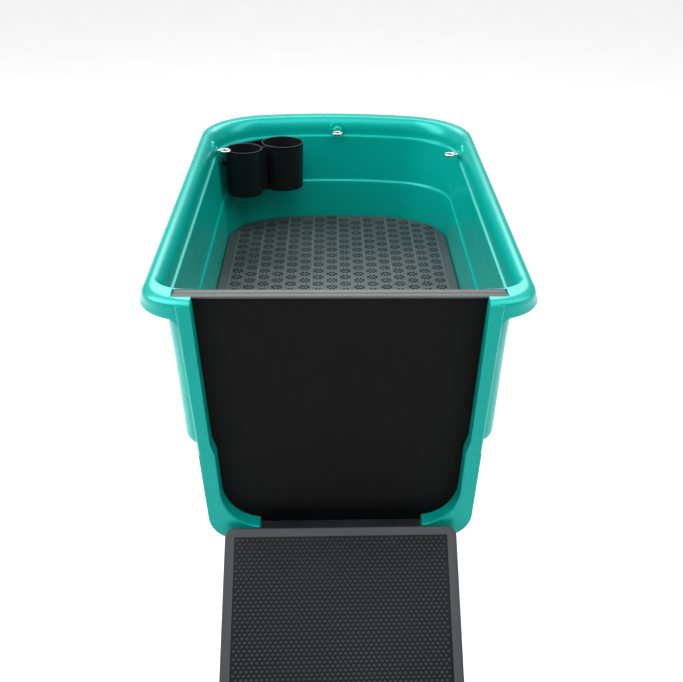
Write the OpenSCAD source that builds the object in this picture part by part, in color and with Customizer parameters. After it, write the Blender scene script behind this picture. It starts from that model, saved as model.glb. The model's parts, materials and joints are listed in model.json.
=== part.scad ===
// Walk-in pet bathtub on a tube stand, with a sliding front door and a hinged ramp.
// Millimetres, +Z up, front (door and ramp) towards -Y, symmetric about X = 0 apart from the caddy.
// The origin is on the ground, midway between the ramp's tip and the back of the rim.
// Depths named *_d are measured down from the rim top.

/* [Tub] */
// Length over the rim
tub_l = 1270; // [1200:10:1400]
// Width over the rim top
tub_w = 680; // [660:5:700]
// Height of the rim above the ground
rim_h = 900; // [860:5:960]
// Depth of the moulded body below the rim top
body_d = 500; // [490:1:505]
// Wall thickness of the moulding
wall = 4; // [3.5:0.1:4.5]
// Depth of the rim's skirt
skirt_d = 33; // [31:1:40]
// Radius of the rear corners
rear_r = 180; // [160:5:190]
// Radius of the front corners
front_r = 92; // [84:2:96]

/* [Front frame and doorway] */
// Front to back depth of the front frame
frame_t = 60; // [58:1:64]
// Half width of the doorway at the rim
door_half = 251; // [248:0.5:253]
// Depth of the doorway's sill below the rim
sill_d = 447; // [440:1:450]
// Width of the notch in the sill lip
notch_w = 298; // [280:2:310]
// Depth of the sill notch
notch_h = 14; // [12:1:16]

/* [Door] */
// Thickness of the door panel
door_t = 12; // [10:1:13]
// How far the door reaches into each side slot
door_lap = 14; // [10:1:16]
// Half length of the door's top flange
flange_half = 282.5; // [276:0.5:283]
// Front to back width of the door's top flange
flange_w = 31; // [28:1:32]
// Thickness of the top flange
flange_t = 4; // [3:0.5:6]

/* [Floor rack] */
// Depth of the rack's top face below the rim
rack_d = 261; // [259:1:262]
// Half width of the rack
rack_half = 278; // [274:0.5:278]
// Thickness of the rack's top plate
rack_plate = 5; // [4:0.5:7]
// Column pitch of the drain holes
hole_dx = 32; // [28:1:36]
// Row pitch of the drain holes
hole_dy = 40; // [36:1:44]
// Diameter of a drain hole
hole_dia = 12; // [8:1:16]

/* [Bottle caddy] */
// Outer radius of the left cup
cup_left_r = 46; // [44:0.5:46.5]
// Outer radius of the right cup
cup_right_r = 53; // [50:0.5:53.5]
// Height of the cups
cup_h = 118; // [100:2:120]
// Wall of the cups
cup_wall = 3; // [2.5:0.5:4]

/* [Eye bolts] */
// Mean radius of the ring
eye_r = 12; // [11:0.5:12.5]
// Radius of the bolt wire
eye_wire = 3; // [2.5:0.5:3.5]

/* [Drain] */
// Radius of the drain hole in the tub floor
drain_r = 26; // [24:1:30]
// Outer radius of the outlet spigot
outlet_r = 19; // [16:1:19]
// Length of the outlet spigot
outlet_l = 60; // [40:5:80]

/* [Ramp] */
// Width of the ramp
ramp_w = 422; // [416:2:428]
// Slope of the ramp below the horizontal
ramp_a = 38.5; // [36:0.5:42]
// Thickness of the ramp's deck
deck_t = 8; // [7:0.5:9]
// Depth of the stiffening skirt below the hinge axis
ramp_rib = 22; // [18:1:26]
// Radius of the hinge pin
pin_r = 3; // [2.5:0.5:3]

/* [Stand] */
// Outer half width over the legs
stand_half = 205; // [195:1:212]
// Diameter of the legs
leg_dia = 32; // [28:1:36]
// Side of the square rails
rail_s = 30; // [25:1:30]

/* [Hidden] */
$fn = 64;

teal = [0.03, 0.58, 0.54];
black = [0.11, 0.11, 0.12];
dark_grey = [0.3, 0.34, 0.35];
steel = [0.78, 0.79, 0.8];
rubber = [0.08, 0.08, 0.08];

rim_half = tub_w / 2;
wall_y = frame_t + wall;     // inner face of the front wall
bow_a = 12;                  // slope of the back wall's bow where it meets the corner
back_in = 27;                // extra width of the rim along the back
inner_front_r = 72;          // front corner radius of the basin, at the rim
ledge_fall = 2;              // the ledge falls this much inwards
tier_d = 309;                // depth of the step between the upper and lower tiers
tier_half = 246;             // half width of the lower tier at its top
arc_step = 7.5;              // degrees between points on a rounded outline
slice_t = 0.01;              // thickness of a loft's slices
fit_gap = 0.3;               // gap between pieces that move past each other

// ---- hinge and ramp positions ----
pin_y = -14;
pin_z = rim_h - sill_d - 6;
pad_t = 12;                  // thickness of the ramp's rubber foot
ramp_l = (pin_z + deck_t * cos(ramp_a) - pad_t) / sin(ramp_a);
tip_y = pin_y - ramp_l * cos(ramp_a) - deck_t * sin(ramp_a);
skirt_flare = 8;             // how far the skirt's hem stands out past the rim top
shift_y = -(tip_y + tub_l + skirt_flare) / 2;

// ---- where things are ----
floor_z = rim_h - body_d;
drain_y = 640;
eye_z = rim_h - 34;
leg_front_y = 150;
leg_rear_y = 1035;
rail_front_y = 110;
rail_rear_y = 1085;
rail_x = stand_half - leg_dia / 2;
rail_screw_ys = [220, 980];
tip_h = 14;                  // height of a rubber leg tip below the tube
cup_at = [[-237, 1054], [-142, 1116]];
cup_rs = [cup_left_r, cup_right_r];
cup_top_z = rim_h - 39;

function arc(cx, cy, r, a0, a1) =
    [for (i = [0 : ceil(abs(a1 - a0) / arc_step)])
        let (a = a0 + (a1 - a0) * i / ceil(abs(a1 - a0) / arc_step))
        [cx + r * cos(a), cy + r * sin(a)]];

function flip(points) = [for (i = [len(points) - 1 : -1 : 0]) [-points[i][0], points[i][1]]];

// Plan outline, symmetric about X: round front corners, large rear corners, a bowed back.
function plan_half(half, y0, y1, rf, rb) =
    let (xc = half - rb * (1 - sin(bow_a)),
         bow = xc * tan(bow_a) / 2,
         cy = y1 - bow - rb * cos(bow_a))
    concat(arc(half - rf, y0 + rf, rf, -90, 0),
           arc(half - rb, cy, rb, 0, 90 - bow_a),
           [for (i = [1 : 3]) let (x = xc * (1 - i / 4)) [x, y1 - bow * pow(x / xc, 2)]]);

function plan(half, y0, y1, rf, rb) =
    let (right = plan_half(half, y0, y1, rf, rb))
    concat(right, [[0, y1]], flip(right));

// A level of a loft: depth, half width and front edge. The back keeps the same inset as the sides.
function ring(level, back, corner) =
    let (inset = rim_half - level[1])
    plan(level[1], level[2], tub_l - inset - back,
         max(corner - inset * 0.6, 30), max(rear_r - inset * 0.45, 60));

module slice(level, back, corner) {
    translate([0, 0, rim_h - level[0]])
        linear_extrude(slice_t)
            polygon(ring(level, back, corner));
}

module loft(levels, back, corner) {
    for (i = [0 : len(levels) - 2])
        hull() {
            slice(levels[i], back, corner);
            slice(levels[i + 1], back, corner);
        }
}

// The same body as one skin of triangles from ring to ring.
module skin(levels, back, corner) {
    n = len(ring(levels[0], back, corner));
    last = (len(levels) - 1) * n;
    points = [for (level = levels) for (p = ring(level, back, corner))
              [p[0], p[1], rim_h - level[0]]];
    polyhedron(points, concat(
        [[for (j = [n - 1 : -1 : 0]) j]],
        [for (i = [0 : len(levels) - 2], j = [0 : n - 1])
            [i * n + j, i * n + (j + 1) % n, (i + 1) * n + j]],
        [for (i = [0 : len(levels) - 2], j = [0 : n - 1])
            [i * n + (j + 1) % n, (i + 1) * n + (j + 1) % n, (i + 1) * n + j]],
        [[for (j = [0 : n - 1]) last + j]]));
}

// U-shaped outline seen from the front: a straight drafted side and a round bottom corner.
function u_half(half_top, slope, bottom_d, r, top_d) =
    let (cd = bottom_d - r, cx = half_top - slope * cd - r)
    concat([for (a = arc(cx, -cd, r, -90, 0)) a], [[half_top - slope * top_d, -top_d]]);

function u_outline(half_top, slope, bottom_d, r, top_d) =
    let (right = u_half(half_top, slope, bottom_d, r, top_d))
    concat(right, flip(right));

// Extrudes a front-view outline from y0 to y1.
module from_front(y0, y1, points) {
    translate([0, y1, rim_h])
        rotate([90, 0, 0])
            linear_extrude(y1 - y0)
                polygon(points);
}

frame_slope = 0.0835;
door_slope = 0.0755;
frame_bottom_d = 478;
lip = 6;                     // the sill lip stands this far into the doorway
seam_d = 297;                // depth of the seam where the sill lip starts
lip_tip_d = 273;             // depth of the lip's pointed top
lip_r = 75;                  // radius of the lip's bottom corners
function frame_outline() = u_outline(276.5, frame_slope, frame_bottom_d, 55, 6);
function doorway_outline(grow, top_d) =
    u_outline(door_half + grow, door_slope, sill_d + 0.8 * grow, 70 + grow, top_d);

// The open doorway: as the door's outline, but narrower below the seam.
function opening_half() =
    let (right = u_half(door_half - lip, door_slope, sill_d, lip_r, seam_d))
    concat(right, [[door_half - door_slope * lip_tip_d, -lip_tip_d], [door_half, 1]]);

function opening_outline() =
    let (right = opening_half())
    concat(right, flip(right));

// ---- tub ----
rim_levels = [[0, rim_half - 8, 8], [2, rim_half - 3.5, 3.5], [7, rim_half - 0.5, 0.5],
    [14, rim_half + 1, 0], [24, rim_half + 4, 0], [skirt_d, rim_half + skirt_flare, 0]];
channel_levels = [[wall + 2, rim_half - 10, 10], [13, rim_half - wall, wall],
    [skirt_d + 1, rim_half + skirt_flare - wall, wall]];
body_levels = [[wall, 326, 56], [12, 319.5, 58], [24, 313.5, frame_t], [skirt_d, 309.5, frame_t],
    [129, 298, frame_t], [tier_d - 8, 284, frame_t], [tier_d, 281, frame_t],
    [tier_d + 4, tier_half + 4, frame_t],
    [body_d - 40, 236, frame_t], [body_d - 14, 228, frame_t], [body_d, 212, frame_t + 12]];
cavity_levels = [[-1, 329, wall_y - 4], [3, 322, wall_y - 2], [10, 315.5, wall_y],
    [24, 309, wall_y], [44, 306, wall_y], [50, 300, wall_y], [165, 291.5, wall_y],
    [171, 289, wall_y], [tier_d - ledge_fall, 279.5, wall_y], [tier_d, tier_half, wall_y],
    [body_d - 44, 232, wall_y], [body_d - 16, 224, wall_y], [body_d - wall, 208, wall_y + 12]];

slot_y = 32;
slot_t = 20;
module door_cuts() {
    from_front(-1, wall_y + 20, opening_outline());
    from_front(slot_y, slot_y + slot_t, doorway_outline(door_lap + 1.5, -1));
    translate([-(flange_half + 3.5), 26, rim_h - flange_t - 1])
        cube([2 * (flange_half + 3.5), flange_w + 3, flange_t + 3]);
    translate([-notch_w / 2, -1, rim_h - sill_d - notch_h])
        cube([notch_w, slot_y + 2, notch_h + 20]);
}

module wall_boss(x, y, turn) {
    translate([x, y, eye_z])
        rotate([0, 0, turn])
            rotate([90, 0, 0])
                cylinder(r1 = 22, r2 = 12, h = 8);
}

eye_points = [[0, tub_l - back_in - 34, 0], [-306, 1012, 90], [306, 990, -90]];

module tub_shell() {
    color(teal)
        difference() {
            union() {
                difference() {
                    loft(rim_levels, 0, front_r);
                    loft(channel_levels, 0, front_r);
                }
                loft(body_levels, back_in, inner_front_r);
                from_front(0, frame_t + wall / 2, frame_outline());
            }
            difference() {
                skin(cavity_levels, back_in, inner_front_r);
                for (p = eye_points)
                    wall_boss(p[0], p[1], p[2]);
            }
            door_cuts();
            translate([0, drain_y, floor_z - 1])
                cylinder(r = drain_r, h = wall + 2);
            for (p = eye_points)
                translate([p[0], p[1], eye_z])
                    rotate([0, 0, p[2]])
                        rotate([90, 0, 0])
                            cylinder(r = eye_wire + 0.5, h = 60, center = true);
            for (i = [0, 1])
                on_cup_axis(i, cup_rs[i] - 10)
                    cylinder(r = 3.2, h = 60);
            for (x = bracket_screw_xs)
                translate([x, 20, bracket_screw_z])
                    rotate([90, 0, 0])
                        cylinder(r = 3, h = 30);
            for (s = [-1, 1], y = rail_screw_ys)
                translate([s * rail_x, y, floor_z - 1])
                    cylinder(r = 3.7, h = wall + 2);
        }
}

// ---- door ----
door_front_y = slot_y + 1;
module door_panel() {
    color(black)
        from_front(door_front_y, door_front_y + door_t, doorway_outline(door_lap, flange_t));
}

module door_flange() {
    chamfer = 2;
    color(dark_grey)
        from_front(27, 27 + flange_w,
                   [[-flange_half, -flange_t], [flange_half, -flange_t],
                    [flange_half, -chamfer], [flange_half - chamfer, 0],
                    [chamfer - flange_half, 0], [-flange_half, -chamfer]]);
}

// The seal lies in the slot behind the door: a U of rubber strip.
module door_seal() {
    color(rubber)
        difference() {
            from_front(door_front_y + door_t + fit_gap, slot_y + slot_t,
                       doorway_outline(door_lap, flange_t + 4));
            from_front(0, wall_y, doorway_outline(door_lap / 2, -1));
        }
}

// ---- floor rack ----
rack_bottom_d = tier_d - ledge_fall - fit_gap;
rack_front_y = wall_y + 6;
rack_seam_y = 560;
rack_back_y = tub_l - back_in - (rim_half - rack_half) - 3;
first_row_y = 100;

module rack_plan(inset) {
    polygon(plan(rack_half - inset, rack_front_y + inset, rack_back_y - inset, 40, 160));
}

module rack_half_of(y0, y1) {
    depth = rack_bottom_d - rack_d;
    skirt = 4;
    translate([0, 0, rim_h - rack_bottom_d])
        intersection() {
            translate([-rim_half, y0, 0])
                cube([2 * rim_half, y1 - y0, depth]);
            union() {
                linear_extrude(depth)
                    difference() {
                        rack_plan(0);
                        rack_plan(skirt);
                    }
                translate([0, 0, depth - rack_plate])
                    linear_extrude(rack_plate)
                        difference() {
                            rack_plan(skirt / 2);
                            for (i = [-8 : 7], j = [0 : floor((rack_back_y - first_row_y) / hole_dy) - 1])
                                translate([(i + 0.5) * hole_dx,
                                           first_row_y + (j + abs(i % 2) / 2) * hole_dy])
                                    circle(d = hole_dia, $fn = 24);
                        }
                intersection() {
                    linear_extrude(depth)
                        rack_plan(skirt / 2);
                    union() {
                        for (i = [-4 : 4])
                            translate([2 * i * hole_dx - 1.5, rack_front_y, 0])
                                cube([3, tub_l, depth - 1]);
                        for (y = [y0, (y0 + y1) / 2 - 1.5, y1 - 3])
                            translate([-rim_half, y, 0])
                                cube([2 * rim_half, 3, depth - 1]);
                    }
                }
            }
        }
}

module floor_rack_front() {
    color(dark_grey)
        rack_half_of(rack_front_y, rack_seam_y - 1);
}

module floor_rack_rear() {
    color(dark_grey)
        rack_half_of(rack_seam_y + 1, rack_back_y);
}

// ---- bottle caddy ----
// Each cup: turn of its screw towards the wall, and where the nut sits along it.
cup_screw_turn = [74, 9.9];
cup_nut_at = [66, 81];
cup_boss_end = [55.8, 69];   // the screw bosses nearly reach the wall
cup_boss_r = 9;
screw_drop = 40;
screw_head_r = 6;
screw_head_h = 2.5;
function cup_head_at(i) = cup_rs[i] - cup_wall + 1;   // the heads are sunk in the wall
web_at = [[-254, 1072], [-146, 1140]];
web_rs = [25, 38];
module on_cup_axis(i, at) {
    translate([cup_at[i][0], cup_at[i][1], cup_top_z - screw_drop])
        rotate([0, 0, cup_screw_turn[i]])
            translate([0, at, 0])
                rotate([-90, 0, 0])
                    children();
}

module bottle_caddy() {
    color(black)
        difference() {
            union() {
                translate([0, 0, cup_top_z - cup_h])
                    linear_extrude(cup_h)
                        union() {
                            for (i = [0, 1])
                                translate(cup_at[i])
                                    circle(r = cup_rs[i]);
                            hull()
                                for (i = [0, 1])
                                    translate(web_at[i])
                                        circle(r = web_rs[i]);
                        }
                for (i = [0, 1])
                    on_cup_axis(i, cup_rs[i] - cup_wall - 1)
                        cylinder(r = cup_boss_r, h = cup_boss_end[i] - cup_rs[i] + cup_wall + 1);
            }
            for (i = [0, 1]) {
                translate([cup_at[i][0], cup_at[i][1], cup_top_z - cup_h + cup_wall])
                    cylinder(r = cup_rs[i] - cup_wall, h = cup_h);
                on_cup_axis(i, cup_rs[i] - 10)
                    cylinder(r = 3, h = 60);
                on_cup_axis(i, cup_rs[i] - 10)
                    cylinder(r = screw_head_r + fit_gap, h = cup_head_at(i) + screw_head_h - cup_rs[i] + 10);
            }
        }
}

module caddy_screws() {
    color(steel)
        for (i = [0, 1])
            on_cup_axis(i, cup_head_at(i)) {
                cylinder(r = 3, h = cup_nut_at[i] + 6 - cup_head_at(i));
                cylinder(r = screw_head_r, h = screw_head_h);
            }
}

module caddy_nuts() {
    color(steel)
        for (i = [0, 1])
            on_cup_axis(i, cup_nut_at[i])
                difference() {
                    cylinder(r = 6, h = 4, $fn = 6);
                    translate([0, 0, -1])
                        cylinder(r = 3, h = 6);
                }
}

// ---- eye bolts: the shank goes out through the wall, the ring lies level inside ----
eye_out = 26;      // from the wall to the ring's centre
shank_l = eye_out - eye_r + 15;
module eye_bolt(p) {
    translate([p[0], p[1], eye_z])
        rotate([0, 0, p[2]])
            translate([0, -eye_out, 0]) {
                rotate_extrude()
                    translate([eye_r, 0])
                        circle(r = eye_wire, $fn = 24);
                translate([0, eye_r, 0])
                    rotate([-90, 0, 0])
                        cylinder(r = eye_wire, h = shank_l);
            }
}

module eye_bolt_rear() {
    color(steel)
        eye_bolt(eye_points[0]);
}

module eye_bolt_left() {
    color(steel)
        eye_bolt(eye_points[1]);
}

module eye_bolt_right() {
    color(steel)
        eye_bolt(eye_points[2]);
}

module on_shank(at, r_out, h, sides) {
    for (p = eye_points)
        translate([p[0], p[1], eye_z])
            rotate([0, 0, p[2]])
                translate([0, at, 0])
                    rotate([-90, 0, 0])
                        difference() {
                            cylinder(r = r_out, h = h, $fn = sides);
                            translate([0, 0, -1])
                                cylinder(r = eye_wire, h = h + 2, $fn = 64);
                        }
}

module eye_bolt_washers() {
    color(steel)
        on_shank(7, 9, 1.5, 64);
}

module eye_bolt_nuts() {
    color(steel)
        on_shank(8.5, 6, 5, 6);
}

// ---- drain ----
thread_r = drain_r - 1;
bore_r = 20;
thread_bottom = floor_z - 45;
module drain_ring(z, r_out, r_in, h, sides = 64) {
    translate([0, drain_y, z])
        difference() {
            cylinder(r = r_out, h = h, $fn = sides);
            translate([0, 0, -1])
                cylinder(r = r_in, h = h + 2, $fn = 64);
        }
}

module drain_flange() {
    color(steel)
        union() {
            drain_ring(floor_z + wall, 38, bore_r, 3);
            drain_ring(thread_bottom, thread_r, bore_r, floor_z + wall - thread_bottom + 1);
        }
}

module drain_gasket() {
    color(rubber)
        drain_ring(floor_z - 3, 37, thread_r, 3);
}

module drain_locknut() {
    color(black)
        drain_ring(floor_z - 15, 37, thread_r, 12, 6);
}

module drain_tailpiece() {
    color(black)
        union() {
            drain_ring(thread_bottom - 3, thread_r + 5, thread_r, 22);
            drain_ring(thread_bottom - 6, thread_r + 5, outlet_r - 3, 6);
            drain_ring(thread_bottom - 6 - outlet_l, outlet_r, outlet_r - 3, outlet_l + 1);
        }
}

module drain_strainer() {
    z = floor_z + wall + 3 + fit_gap;
    color(steel)
        translate([0, drain_y, z])
            difference() {
                union() {
                    cylinder(r = 30, h = 3);
                    translate([0, 0, 3])
                        cylinder(r1 = 7, r2 = 5, h = 10);
                }
                for (ring = [[14, 8], [23, 14]], k = [0 : ring[1] - 1])
                    rotate([0, 0, k * 360 / ring[1]])
                        translate([ring[0], 0, -1])
                            cylinder(r = 2.5, h = 6, $fn = 24);
            }
}

// ---- sill bracket and hinge ----
bracket_half = notch_w / 2 - 2;
bracket_t = 3;
bracket_z = rim_h - sill_d - notch_h;
ears = [-112, 112];
ear_w = 12;
ear_r = 5.8;
ear_drop = 23;               // how far the ears reach below the pin
ear_foot = 12;               // height of an ear where it meets the bracket
pin_hole = pin_r + 0.05;
bracket_screw_xs = [-125, 0, 125];
bracket_drop = 16;           // how far the bracket reaches below the notch
bracket_screw_z = bracket_z - 8.5;
module sill_bracket() {
    color(black)
        difference() {
            union() {
                translate([-bracket_half, -bracket_t, bracket_z])
                    cube([2 * bracket_half, slot_y + bracket_t, bracket_t]);
                translate([-bracket_half, -bracket_t, bracket_z - bracket_drop])
                    cube([2 * bracket_half, bracket_t, bracket_drop + 2]);
                for (x = ears) {
                    translate([x - ear_w / 2, pin_y - ear_r, pin_z - ear_drop])
                        cube([ear_w, 2 * ear_r, ear_drop]);
                    translate([x - ear_w / 2, pin_y - ear_r, pin_z - ear_drop])
                        cube([ear_w, ear_r - pin_y - 1, ear_foot]);
                    translate([x - ear_w / 2, pin_y, pin_z])
                        rotate([0, 90, 0])
                            cylinder(r = ear_r, h = ear_w);
                }
            }
            translate([0, pin_y, pin_z])
                rotate([0, 90, 0])
                    cylinder(r = pin_r, h = 2 * bracket_half, center = true);
            for (x = bracket_screw_xs)
                translate([x, 1, bracket_screw_z])
                    rotate([90, 0, 0])
                        cylinder(r = 3, h = 10);
        }
}

module sill_bracket_screws() {
    color(steel)
        for (x = bracket_screw_xs)
            translate([x, 0, bracket_screw_z])
                rotate([90, 0, 0]) {
                    translate([0, 0, -14])
                        cylinder(r = 3, h = 18);
                    translate([0, 0, 3])
                        cylinder(r = 5, h = 2.5);
                }
}

pin_half = 136;
module ramp_hinge_pin() {
    color(steel)
        translate([0, pin_y, pin_z])
            rotate([0, 90, 0])
                cylinder(r = pin_r, h = 2 * pin_half, center = true);
}

// ---- ramp: local X across, Y up the slope away from the foot, Z out of the deck ----
module on_slope() {
    translate([0, pin_y, pin_z])
        rotate([ramp_a, 0, 0])
            children();
}

deck_start = 6;
ear_gap = 0.5;               // clearance round the bracket's ears
mat_half = ramp_w / 2 - 17.6;
mat_top = 14;
mat_bottom = 24;
mat_sink = 2.5;
module ramp_plan(r) {
    half = ramp_w / 2;
    polygon(concat([[half, -ramp_l - 60]], arc(half - r, deck_start - r, r, 0, 90),
                   arc(r - half, deck_start - r, r, 90, 180), [[-half, -ramp_l - 60]]));
}

module knuckle_block(x0, x1) {
    translate([x0, 0, 0])
        rotate([0, 90, 0])
            cylinder(r = deck_t, h = x1 - x0);
    translate([x0, -24, -deck_t])
        cube([x1 - x0, 24, 2 * deck_t]);
}

module ramp_body() {
    color(black)
        difference() {
            on_slope()
                difference() {
                    union() {
                        linear_extrude(deck_t)
                            ramp_plan(18);
                        for (s = [-1, 1])
                            translate([s * (ramp_w / 2 - 4) - 4, -ramp_l - 60, -ramp_rib])
                                cube([8, ramp_l + 60 - 24, ramp_rib + 1]);
                        for (y = [-24 : -95 : -ramp_l])
                            translate([-ramp_w / 2 + 1, y - 6, -ramp_rib])
                                cube([ramp_w - 2, 6, ramp_rib + 1]);
                        translate([-ramp_w / 2 + 1, -ramp_l - 20, -ramp_rib])
                            cube([ramp_w - 2, 60, ramp_rib + 1]);
                        for (x = [-70, 70])
                            translate([x - 3, -ramp_l - 20, -ramp_rib])
                                cube([6, ramp_l - 4, ramp_rib + 1]);
                        knuckle_block(-90, -40);
                        knuckle_block(40, 90);
                    }
                    translate([-mat_half, -ramp_l + mat_bottom, deck_t - mat_sink])
                        cube([2 * mat_half, ramp_l - mat_bottom - mat_top, mat_sink + 1]);
                    for (x = ears)
                        translate([x - ear_w / 2 - 2, -16, -ear_r - ear_gap])
                            cube([ear_w + 4, 30, 2 * (ear_r + ear_gap)]);
                    rotate([0, 90, 0])
                        cylinder(r = pin_hole, h = 2 * pin_half + 4, center = true);
                }
            translate([-ramp_w, tip_y - 100, -100])
                cube([2 * ramp_w, 300, 100 + pad_t]);
        }
}

module ramp_mat() {
    color(rubber)
        on_slope()
            translate([-mat_half, -ramp_l + mat_bottom, deck_t - mat_sink])
                cube([2 * mat_half, ramp_l - mat_bottom - mat_top, mat_sink]);
}

pad_l = 46;
module ramp_foot_pad() {
    color(rubber)
        translate([-ramp_w / 2 + 6, tip_y, 0])
            cube([ramp_w - 12, pad_l, pad_t]);
}

// ---- stand ----
leg_top = floor_z - rail_s;
module leg(x, y) {
    color(black)
        translate([x, y, tip_h])
            difference() {
                cylinder(d = leg_dia, h = leg_top - tip_h);
                translate([0, 0, -1])
                    cylinder(d = leg_dia - 4, h = leg_top - tip_h - 3);
            }
}

module leg_front_left() {
    leg(-rail_x, leg_front_y);
}

module leg_front_right() {
    leg(rail_x, leg_front_y);
}

module leg_rear_left() {
    leg(-rail_x, leg_rear_y);
}

module leg_rear_right() {
    leg(rail_x, leg_rear_y);
}

module side_rail(x) {
    color(black)
        difference() {
            translate([x - rail_s / 2, rail_front_y, leg_top])
                cube([rail_s, rail_rear_y - rail_front_y, rail_s]);
            for (y = rail_screw_ys)
                translate([x, y, leg_top - 1])
                    cylinder(r = 3.5, h = rail_s + 2);
        }
}

module side_rail_left() {
    side_rail(-rail_x);
}

module side_rail_right() {
    side_rail(rail_x);
}

cross_z = 130;
module cross_tube(y) {
    inner = rail_x - leg_dia / 2 + 0.5;
    color(black)
        translate([-inner, y, cross_z])
            rotate([0, 90, 0])
                cylinder(d = 25, h = 2 * inner);
}

module cross_tube_front() {
    cross_tube(leg_front_y);
}

module cross_tube_rear() {
    cross_tube(leg_rear_y);
}

module rail_screws() {
    color(steel)
        for (s = [-1, 1], y = rail_screw_ys)
            translate([s * rail_x, y, leg_top - 4])
                union() {
                    cylinder(r = 6.5, h = 4, $fn = 6);
                    cylinder(r = 3.5, h = rail_s + 4 + wall);
                    translate([0, 0, rail_s + 4 + wall])
                        cylinder(r = 7, h = 3);
                }
}

module leg_tips() {
    color(rubber)
        for (s = [-1, 1], y = [leg_front_y, leg_rear_y])
            translate([s * rail_x, y, 0])
                difference() {
                    union() {
                        cylinder(d1 = leg_dia + 10, d2 = leg_dia + 8, h = tip_h);
                        translate([0, 0, tip_h - 1])
                            cylinder(d = leg_dia + 6, h = 30);
                    }
                    translate([0, 0, tip_h])
                        cylinder(d = leg_dia, h = 40);
                }
}

module place() {
    translate([0, shift_y, 0])
        children();
}

place() tub_shell();
place() door_panel();
place() door_flange();
place() door_seal();
place() floor_rack_front();
place() floor_rack_rear();
place() bottle_caddy();
place() caddy_screws();
place() caddy_nuts();
place() eye_bolt_rear();
place() eye_bolt_left();
place() eye_bolt_right();
place() eye_bolt_washers();
place() eye_bolt_nuts();
place() drain_flange();
place() drain_gasket();
place() drain_locknut();
place() drain_tailpiece();
place() drain_strainer();
place() sill_bracket();
place() sill_bracket_screws();
place() ramp_hinge_pin();
place() ramp_body();
place() ramp_mat();
place() ramp_foot_pad();
place() leg_front_left();
place() leg_front_right();
place() leg_rear_left();
place() leg_rear_right();
place() side_rail_left();
place() side_rail_right();
place() cross_tube_front();
place() cross_tube_rear();
place() rail_screws();
place() leg_tips();
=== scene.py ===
import json
import math

import bmesh
import bpy
import numpy as np
from mathutils import Matrix, Vector


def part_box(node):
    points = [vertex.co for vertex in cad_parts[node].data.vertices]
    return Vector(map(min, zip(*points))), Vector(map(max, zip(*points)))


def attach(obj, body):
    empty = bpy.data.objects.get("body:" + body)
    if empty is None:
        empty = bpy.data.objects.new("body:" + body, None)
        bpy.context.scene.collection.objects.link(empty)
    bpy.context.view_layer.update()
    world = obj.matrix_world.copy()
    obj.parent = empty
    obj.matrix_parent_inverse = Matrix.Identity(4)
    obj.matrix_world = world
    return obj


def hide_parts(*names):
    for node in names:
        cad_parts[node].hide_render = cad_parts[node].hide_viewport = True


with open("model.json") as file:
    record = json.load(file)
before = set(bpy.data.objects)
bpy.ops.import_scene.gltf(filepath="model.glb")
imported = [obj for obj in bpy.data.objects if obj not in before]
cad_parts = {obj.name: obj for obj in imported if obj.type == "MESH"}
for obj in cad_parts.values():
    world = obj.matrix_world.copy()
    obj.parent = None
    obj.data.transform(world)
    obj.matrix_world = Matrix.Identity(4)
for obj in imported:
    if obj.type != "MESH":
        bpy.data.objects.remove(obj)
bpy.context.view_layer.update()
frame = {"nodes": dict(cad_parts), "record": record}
NODES = frame["nodes"]

MM = 0.001

# ---------------------------------------------------------------- places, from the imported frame
tub_low, tub_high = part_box("tub_shell")
door_low, door_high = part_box("door_panel")
flange_low, flange_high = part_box("door_flange")
rack_front_low, rack_front_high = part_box("floor_rack_front")
rack_rear_low, rack_rear_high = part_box("floor_rack_rear")
caddy_low, caddy_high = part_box("bottle_caddy")
pin_low, pin_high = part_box("ramp_hinge_pin")
ramp_low, ramp_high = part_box("ramp_body")
pad_low, pad_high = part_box("ramp_foot_pad")

FRONT = tub_low.y                     # the front frame's face
TOP = tub_high.z                      # the rim's top
FLARE = 8 * MM                        # the skirt's hem stands this far past the rim top
HALF = tub_high.x - FLARE             # half width over the rim top
LENGTH = tub_high.y - FLARE - FRONT   # rim length
WALL = 4 * MM
SKIRT_D = 33 * MM
BACK_IN = 27 * MM                     # extra rim width along the back
FRAME_T = 60 * MM
WALL_Y = FRAME_T + WALL
SILL_D = 447 * MM
NOTCH_HALF = 149 * MM
NOTCH_D = 14 * MM
SLOT_Y = 32 * MM
SLOT_T = 20 * MM
DOOR_HALF = 251 * MM
DOOR_SLOPE = 0.0755
LIP = 6 * MM                          # the sill lip stands this far into the doorway
SEAM_D = 297 * MM
LIP_TIP_D = 273 * MM
STEP = 0.8 * MM                       # the frame stands this far proud below its seam
DOOR_LAP = 14 * MM
FRAME_HALF = 276.5 * MM               # half width of the front frame, carried up to the rim top
FRAME_CORNER = 55 * MM
FRAME_SLOPE = 0.0835
FRAME_D = 478 * MM
REAR_R = 180 * MM
FRONT_R = 92 * MM
INNER_FRONT_R = 72 * MM
BOW = math.radians(12)
RACK_TOP = rack_rear_high.z
RACK_HALF = rack_rear_high.x
EYE_Z = (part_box("eye_bolt_rear")[0].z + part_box("eye_bolt_rear")[1].z) / 2
PIN_Y = (pin_low.y + pin_high.y) / 2
PIN_Z = (pin_low.z + pin_high.z) / 2
RAMP_A = math.radians(38.5)
RAMP_HALF = ramp_high.x
DECK_T = 8 * MM


# ---------------------------------------------------------------- mesh helpers
def mesh_object(name, verts, faces, smooth=35.0):
    mesh = bpy.data.meshes.new(name)
    mesh.from_pydata([tuple(v) for v in verts], [], [tuple(f) for f in faces])
    mesh.validate()
    obj = bpy.data.objects.new(name, mesh)
    bpy.context.scene.collection.objects.link(obj)
    shade(obj, smooth)
    return obj


def shade(obj, angle):
    obj.data.shade_smooth()
    obj.data.set_sharp_from_angle(angle=math.radians(angle))


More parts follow.
